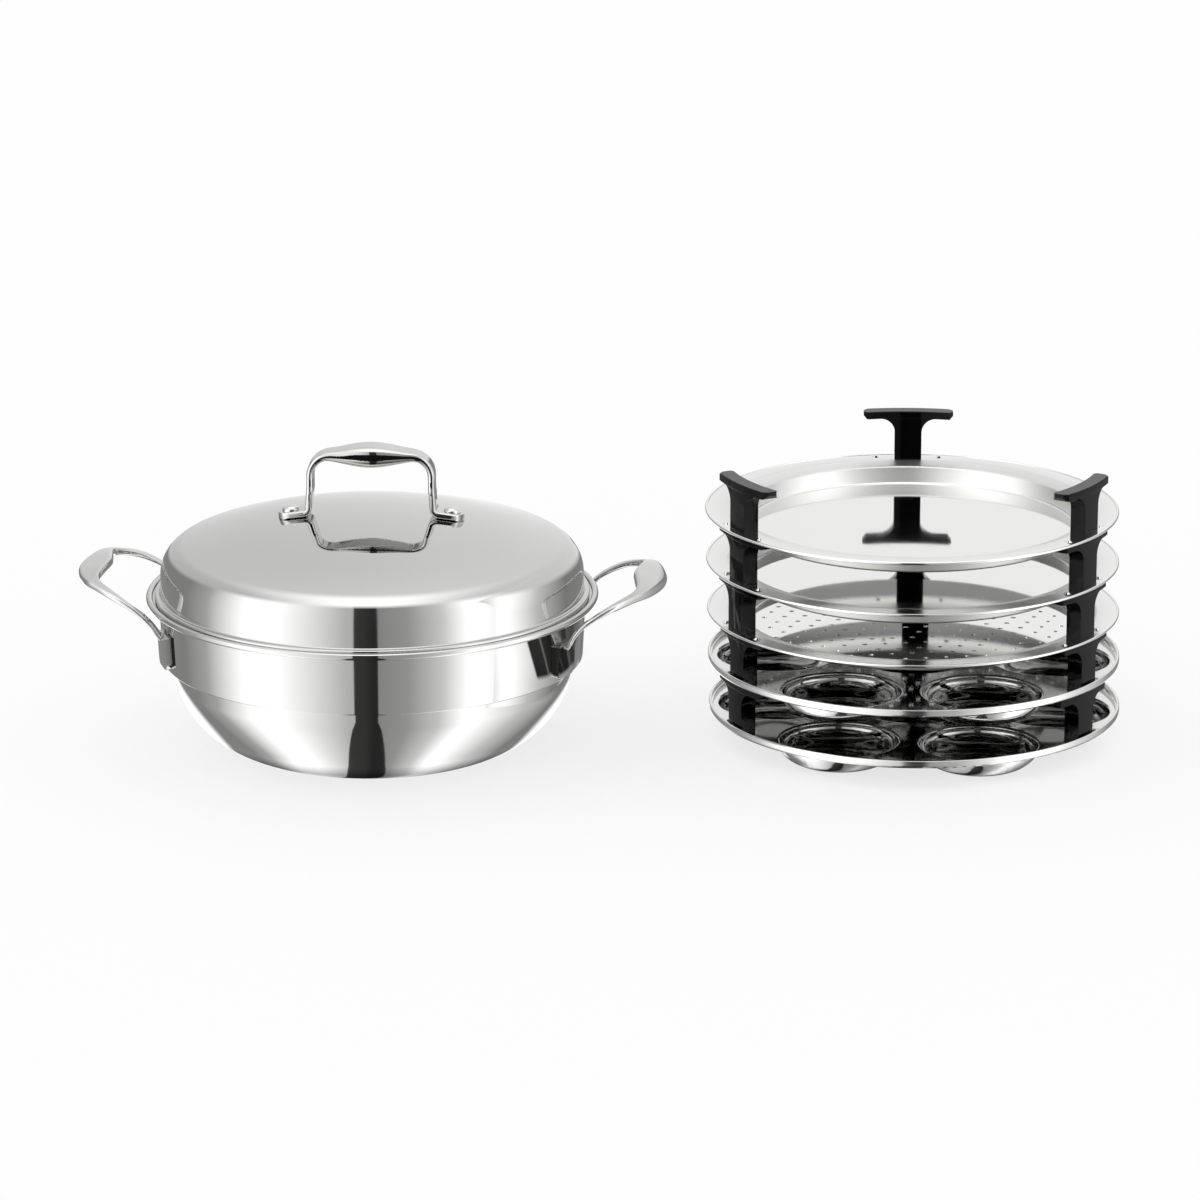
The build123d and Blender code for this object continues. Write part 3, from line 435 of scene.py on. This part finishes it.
def tent_light(tree, vector):
    """Brightness of the tent in a direction. It is laid out by the slope of polished metal that
    mirrors that direction to the camera's place. Low down it is the panels, with white beyond
    them under the bowl's sides. Above them the roof is grey, darker to the left, with a soft
    white glow above the camera."""
    aim = add_node(tree, "ShaderNodeVectorMath", {0: vector}, operation="NORMALIZE")
    leaned = add_node(tree, "ShaderNodeVectorMath", {0: aim.outputs[0], 1: camera_aim},
                      operation="SUBTRACT")
    facing = add_node(tree, "ShaderNodeVectorMath", {0: leaned.outputs[0]}, operation="NORMALIZE")
    split = add_node(tree, "ShaderNodeSeparateXYZ", {0: facing.outputs[0]})
    across, back, up = split.outputs

    # The panels, by the degrees round from the front, and spread wider low down
    ahead = add_node(tree, "ShaderNodeMath", {0: back, 1: -1.0}, operation="MULTIPLY")
    aimed = add_node(tree, "ShaderNodeCombineXYZ", {0: ahead.outputs[0], 1: across})
    angle = add_node(tree, "ShaderNodeTexGradient", {0: aimed.outputs[0]}, gradient_type="RADIAL")
    from_front = add_node(tree, "ShaderNodeMath", {0: angle.outputs["Fac"], 1: 0.5},
                          operation="SUBTRACT")
    spread = add_node(tree, "ShaderNodeMapRange", {"Value": up, "From Min": -0.2,
                                                   "From Max": -0.66, "To Min": 1.67,
                                                   "To Max": 2.42})
    place = add_node(tree, "ShaderNodeMath", {0: from_front.outputs[0], 1: spread.outputs[0],
                                              2: 0.5 - panel_shift / 360}, operation="MULTIPLY_ADD")
    panels = tone_ramp(tree, place.outputs[0], panel_tones, -180, 360)

    # The dark gap between them, a little to the left and wider low down
    from_gap = add_node(tree, "ShaderNodeMath", {0: place.outputs[0], 1: 360, 2: gap_shift - 180},
                        operation="MULTIPLY_ADD")
    off_gap = add_node(tree, "ShaderNodeMath", {0: from_gap.outputs[0]}, operation="ABSOLUTE")
    gap_width = add_node(tree, "ShaderNodeMapRange", {"Value": up, "From Min": -0.1,
                                                      "From Max": -0.95, "To Min": 5.4,
                                                      "To Max": 19.0})
    past_gap = add_node(tree, "ShaderNodeMath", {0: off_gap.outputs[0],
                                                 1: gap_width.outputs[0]}, operation="SUBTRACT")
    open_side = add_node(tree, "ShaderNodeMapRange", {"Value": past_gap.outputs[0],
                                                      "From Min": -0.2, "From Max": 0.2,
                                                      "To Min": 0.08, "To Max": 1.0})
    gapped = add_node(tree, "ShaderNodeMath", {0: panels, 1: open_side.outputs[0]},
                      operation="MULTIPLY")

    # White beyond the bowl's sides, and shade underneath it
    aside = add_node(tree, "ShaderNodeMath", {0: across}, operation="ABSOLUTE")
    lower = add_node(tree, "ShaderNodeMath", {0: up, 1: -0.667, 2: aside.outputs[0]},
                     operation="MULTIPLY_ADD")
    uneven = add_node(tree, "ShaderNodeMath", {0: across, 1: -0.035, 2: lower.outputs[0]},
                      operation="MULTIPLY_ADD")
    beyond = add_node(tree, "ShaderNodeMapRange", {"Value": uneven.outputs[0], "From Min": 1.055,
                                                   "From Max": 1.11})
    floor_part = add_node(tree, "ShaderNodeMix", {0: beyond.outputs[0], 2: gapped.outputs[0],
                                                  3: 1.0}, data_type="FLOAT")
    underneath = add_node(tree, "ShaderNodeMapRange", {"Value": up, "From Min": -0.72,
                                                       "From Max": -0.86, "To Min": 1.0,
                                                       "To Max": 0.4})
    low_part = add_node(tree, "ShaderNodeMath", {0: floor_part.outputs[0],
                                                 1: underneath.outputs[0]}, operation="MULTIPLY")

    # The roof, and the glow in the middle of its front
    roof = add_node(tree, "ShaderNodeMapRange", {"Value": across, "From Min": -0.6,
                                                 "From Max": 0.15, "To Min": 0.40,
                                                 "To Max": 0.53})
    near_front = add_node(tree, "ShaderNodeMapRange", {"Value": aside.outputs[0],
                                                       "From Min": 0.0, "From Max": 0.45,
                                                       "To Min": 0.55, "To Max": 0.0},
                          interpolation_type="SMOOTHSTEP")
    low_down = add_node(tree, "ShaderNodeMapRange", {"Value": up, "From Min": 0.83,
                                                     "From Max": 0.98, "To Min": 1.0,
                                                     "To Max": 0.0},
                        interpolation_type="SMOOTHSTEP")
    glowing = add_node(tree, "ShaderNodeMath", {0: near_front.outputs[0],
                                                1: low_down.outputs[0], 2: roof.outputs[0]},
                       operation="MULTIPLY_ADD")
    above = add_node(tree, "ShaderNodeMapRange", {"Value": up, "From Min": 0.63,
                                                  "From Max": 0.72})
    return add_node(tree, "ShaderNodeMix", {0: above.outputs[0], 2: low_part.outputs[0],
                                            3: glowing.outputs[0]},
                    data_type="FLOAT").outputs[0]


tent_level = 1.75
world = bpy.data.worlds.new("studio tent")
bpy.context.scene.world = world
world.use_nodes = True
tree = world.node_tree
aim = add_node(tree, "ShaderNodeTexCoord").outputs["Generated"]
bright = add_node(tree, "ShaderNodeMath", {0: tent_light(tree, aim), 1: tent_level},
                  operation="MULTIPLY")
rays = add_node(tree, "ShaderNodeLightPath")
shown = add_node(tree, "ShaderNodeMix", {0: rays.outputs["Is Glossy Ray"], 2: 1.0,
                                         3: bright.outputs[0]}, data_type="FLOAT")
tree.links.new(shown.outputs[0], tree.nodes["Background"].inputs["Strength"])
tree.nodes["Background"].inputs["Color"].default_value = linear_colour("#ffffff")


def studio_sheet(name, corners, material):
    """A flat sheet of the studio, which isn't part of the object."""
    mesh = bpy.data.meshes.new(name)
    mesh.from_pydata(corners, [], [(0, 1, 2, 3)])
    mesh.materials.append(material)
    sheet = bpy.data.objects.new(name, mesh)
    bpy.context.scene.collection.objects.link(sheet)


# The paper is white to the camera and takes soft shadows. Reflections see the tent through it,
# except for a painted shade behind the stack of plates and a painted shadow under them.
paper = bpy.data.materials.new("white studio paper")
paper.use_nodes = True
tree = paper.node_tree
shader = tree.nodes["Principled BSDF"]
shader.inputs["Base Color"].default_value = linear_colour("#fbfbfb")
shader.inputs["Roughness"].default_value = 0.9
shader.inputs["Specular IOR Level"].default_value = 0.0
place = add_node(tree, "ShaderNodeNewGeometry").outputs["Position"]
split = add_node(tree, "ShaderNodeSeparateXYZ", {0: place})
# Painted shade: reflections see the paper black in this box behind the stack of plates.
painted_shade_edges = ((0, 0.16, 0.22), (0, 0.52, 0.46), (1, 0.15, 0.19), (1, 0.43, 0.37))
shade = 1.0
for axis, clear, covered in painted_shade_edges:
    edge = add_node(tree, "ShaderNodeMapRange", {"Value": split.outputs[axis], "From Min": clear,
                                                 "From Max": covered})
    shade = add_node(tree, "ShaderNodeMath", {0: edge.outputs[0], 1: shade},
                     operation="MULTIPLY").outputs[0]
painted_shade_behind_stack = add_node(tree, "ShaderNodeMapRange", {"Value": shade, "To Min": 1.0, "To Max": 0.05})
from_stack = add_node(tree, "ShaderNodeVectorMath", {0: place, 1: (stack_x / 1000,
                                                                   stack_y / 1000, 0)},
                      operation="DISTANCE")
# Painted shadow: reflections see the paper darkened round the stack's axis, under the plates.
plates_shadow = add_node(tree, "ShaderNodeMapRange", {"Value": from_stack.outputs["Value"],
                                                      "From Min": 0.06, "From Max": 0.16,
                                                      "To Min": 0.12, "To Max": 1.0})
let_through = add_node(tree, "ShaderNodeMath", {0: painted_shade_behind_stack.outputs[0],
                                                1: plates_shadow.outputs[0]},
                       operation="MULTIPLY")
tent_below = add_node(tree, "ShaderNodeBsdfTransparent")
painted_shade_black = add_node(tree, "ShaderNodeEmission", {"Strength": 0.0})
mirrored = add_node(tree, "ShaderNodeMixShader", {0: let_through.outputs[0],
                                                  1: painted_shade_black.outputs[0],
                                                  2: tent_below.outputs[0]})
white = add_node(tree, "ShaderNodeEmission", {"Color": linear_colour("#ffffff"), "Strength": 1.0})
rays = add_node(tree, "ShaderNodeLightPath")
whiteness = 0.72
plain = add_node(tree, "ShaderNodeMixShader", {0: whiteness, 1: shader.outputs[0],
                                               2: white.outputs[0]})
for_camera = add_node(tree, "ShaderNodeMixShader", {0: rays.outputs["Is Camera Ray"],
                                                    1: shader.outputs[0], 2: plain.outputs[0]})
both = add_node(tree, "ShaderNodeMixShader", {0: rays.outputs["Is Glossy Ray"],
                                              1: for_camera.outputs[0], 2: mirrored.outputs[0]})
tree.links.new(both.outputs[0], tree.nodes["Material Output"].inputs["Surface"])
floor_size, floor_drop = 8.0, 0.0001
studio_sheet("floor", [(x * floor_size, y * floor_size, -floor_drop)
                       for x, y in ((-1, -1), (1, -1), (1, 1), (-1, 1))], paper)


# Flags: two cards that only reflections see. The first stands between the pot and the plates.
# It carries a painted reflection: a dark patch with light streaks in the pot's side, and the tent
# elsewhere. The second is a black card, as a photographer sets one to draw dark lines into polish,
# and gives the lid handle's grip its dark lens.
def mirrored_card(material, brightness):
    """Lets only reflections see a material, and only from the front of its card."""
    material.use_nodes = True
    tree = material.node_tree
    seen_card = add_node(tree, "ShaderNodeEmission", {"Strength": brightness})
    clear_card = add_node(tree, "ShaderNodeBsdfTransparent")
    rays = add_node(tree, "ShaderNodeLightPath")
    not_mirrored = add_node(tree, "ShaderNodeMath", {0: 1.0, 1: rays.outputs["Is Glossy Ray"]},
                            operation="SUBTRACT")
    from_behind = add_node(tree, "ShaderNodeNewGeometry").outputs["Backfacing"]
    hidden = add_node(tree, "ShaderNodeMath", {0: from_behind, 1: not_mirrored.outputs[0]},
                      operation="MAXIMUM")
    both = add_node(tree, "ShaderNodeMixShader", {0: hidden.outputs[0], 1: seen_card.outputs[0],
                                                  2: clear_card.outputs[0]})
    tree.links.new(both.outputs[0], tree.nodes["Material Output"].inputs["Surface"])


painted_reflection_card = bpy.data.materials.new("painted reflection card")
painted_reflection_card.use_nodes = True
tree = painted_reflection_card.node_tree
place = add_node(tree, "ShaderNodeNewGeometry").outputs["Position"]
pot_side = (0.105, -0.075, 0.095)
onward = add_node(tree, "ShaderNodeVectorMath", {0: place, 1: pot_side}, operation="SUBTRACT")
split = add_node(tree, "ShaderNodeSeparateXYZ", {0: place})
slant = add_node(tree, "ShaderNodeMath", {0: split.outputs[2], 1: split.outputs[1]},
                 operation="ADD")
flag_start, flag_span, patch_middle = -0.12, 0.24, 0.045
along = add_node(tree, "ShaderNodeMapRange", {"Value": slant.outputs[0],
                                              "From Min": flag_start + patch_middle,
                                              "From Max": flag_start + flag_span + patch_middle})
# Painted reflection: tones along the card of the dark patch and light streaks that the pot mirrors.
painted_reflection_tones = (
    (-0.12, 1.0), (-0.072, 1.0), (-0.069, 0.03), (-0.047, 0.05), (-0.044, 0.30), (-0.041, 0.05),
    (-0.022, 0.03), (-0.020, 0.14), (-0.018, 0.04), (-0.004, 0.05), (0.000, 0.34), (0.008, 0.12),
    (0.018, 0.14), (0.022, 0.40), (0.045, 0.30), (0.065, 0.60), (0.12, 1.0),
)
streaks = tone_ramp(tree, along.outputs[0], painted_reflection_tones, flag_start, flag_span)
patch_low, patch_high, patch_edge = 0.028, 0.061, 0.003
over = add_node(tree, "ShaderNodeMapRange", {"Value": split.outputs[2], "From Min": patch_low,
                                             "From Max": patch_low + patch_edge})
below = add_node(tree, "ShaderNodeMapRange", {"Value": split.outputs[2], "From Min": patch_high,
                                              "From Max": patch_high - patch_edge})
painted_dark_patch = add_node(tree, "ShaderNodeMath", {0: over.outputs[0], 1: below.outputs[0]},
                      operation="MULTIPLY")
dimmed = add_node(tree, "ShaderNodeMix", {0: painted_dark_patch.outputs[0], 2: 1.0, 3: streaks},
                  data_type="FLOAT")
tone = add_node(tree, "ShaderNodeMath", {0: dimmed.outputs[0],
                                         1: tent_light(tree, onward.outputs[0])},
                operation="MULTIPLY")
level = add_node(tree, "ShaderNodeMath", {0: tone.outputs[0], 1: tent_level},
                 operation="MULTIPLY")
mirrored_card(painted_reflection_card, level.outputs[0])
flag_x, flag_front, flag_back, flag_top = 0.189, -0.14, 0.45, 0.24
studio_sheet("flag", [(flag_x, flag_front, 0), (flag_x, flag_front, flag_top),
                      (flag_x, flag_back, flag_top), (flag_x, flag_back, 0)], painted_reflection_card)
grip_card = bpy.data.materials.new("black grip card")
grip_card_level = 0.01
mirrored_card(grip_card, grip_card_level)
studio_sheet("grip flag", [(0.058, -0.068, 0.155), (-0.058, -0.068, 0.155),
                           (-0.078, -0.130, 0.244), (0.078, -0.130, 0.244)], grip_card)

# Camera: a long lens about three and a half metres away, looking sixteen degrees down, as the
# photograph was taken.
camera_data = bpy.data.cameras.new("camera")
camera_data.sensor_fit = "HORIZONTAL"
camera_data.sensor_width = 36
camera_data.lens = 180
camera_data.clip_end = 50
camera = bpy.data.objects.new("camera", camera_data)
camera_place, camera_pitch = (0.137, -3.4696, 1.1031), 16.28
camera.location = camera_place
camera.rotation_euler = (radians(90 - camera_pitch), 0, 0)
bpy.context.scene.collection.objects.link(camera)
bpy.context.scene.camera = camera
bpy.context.scene.view_settings.view_transform = "Standard"
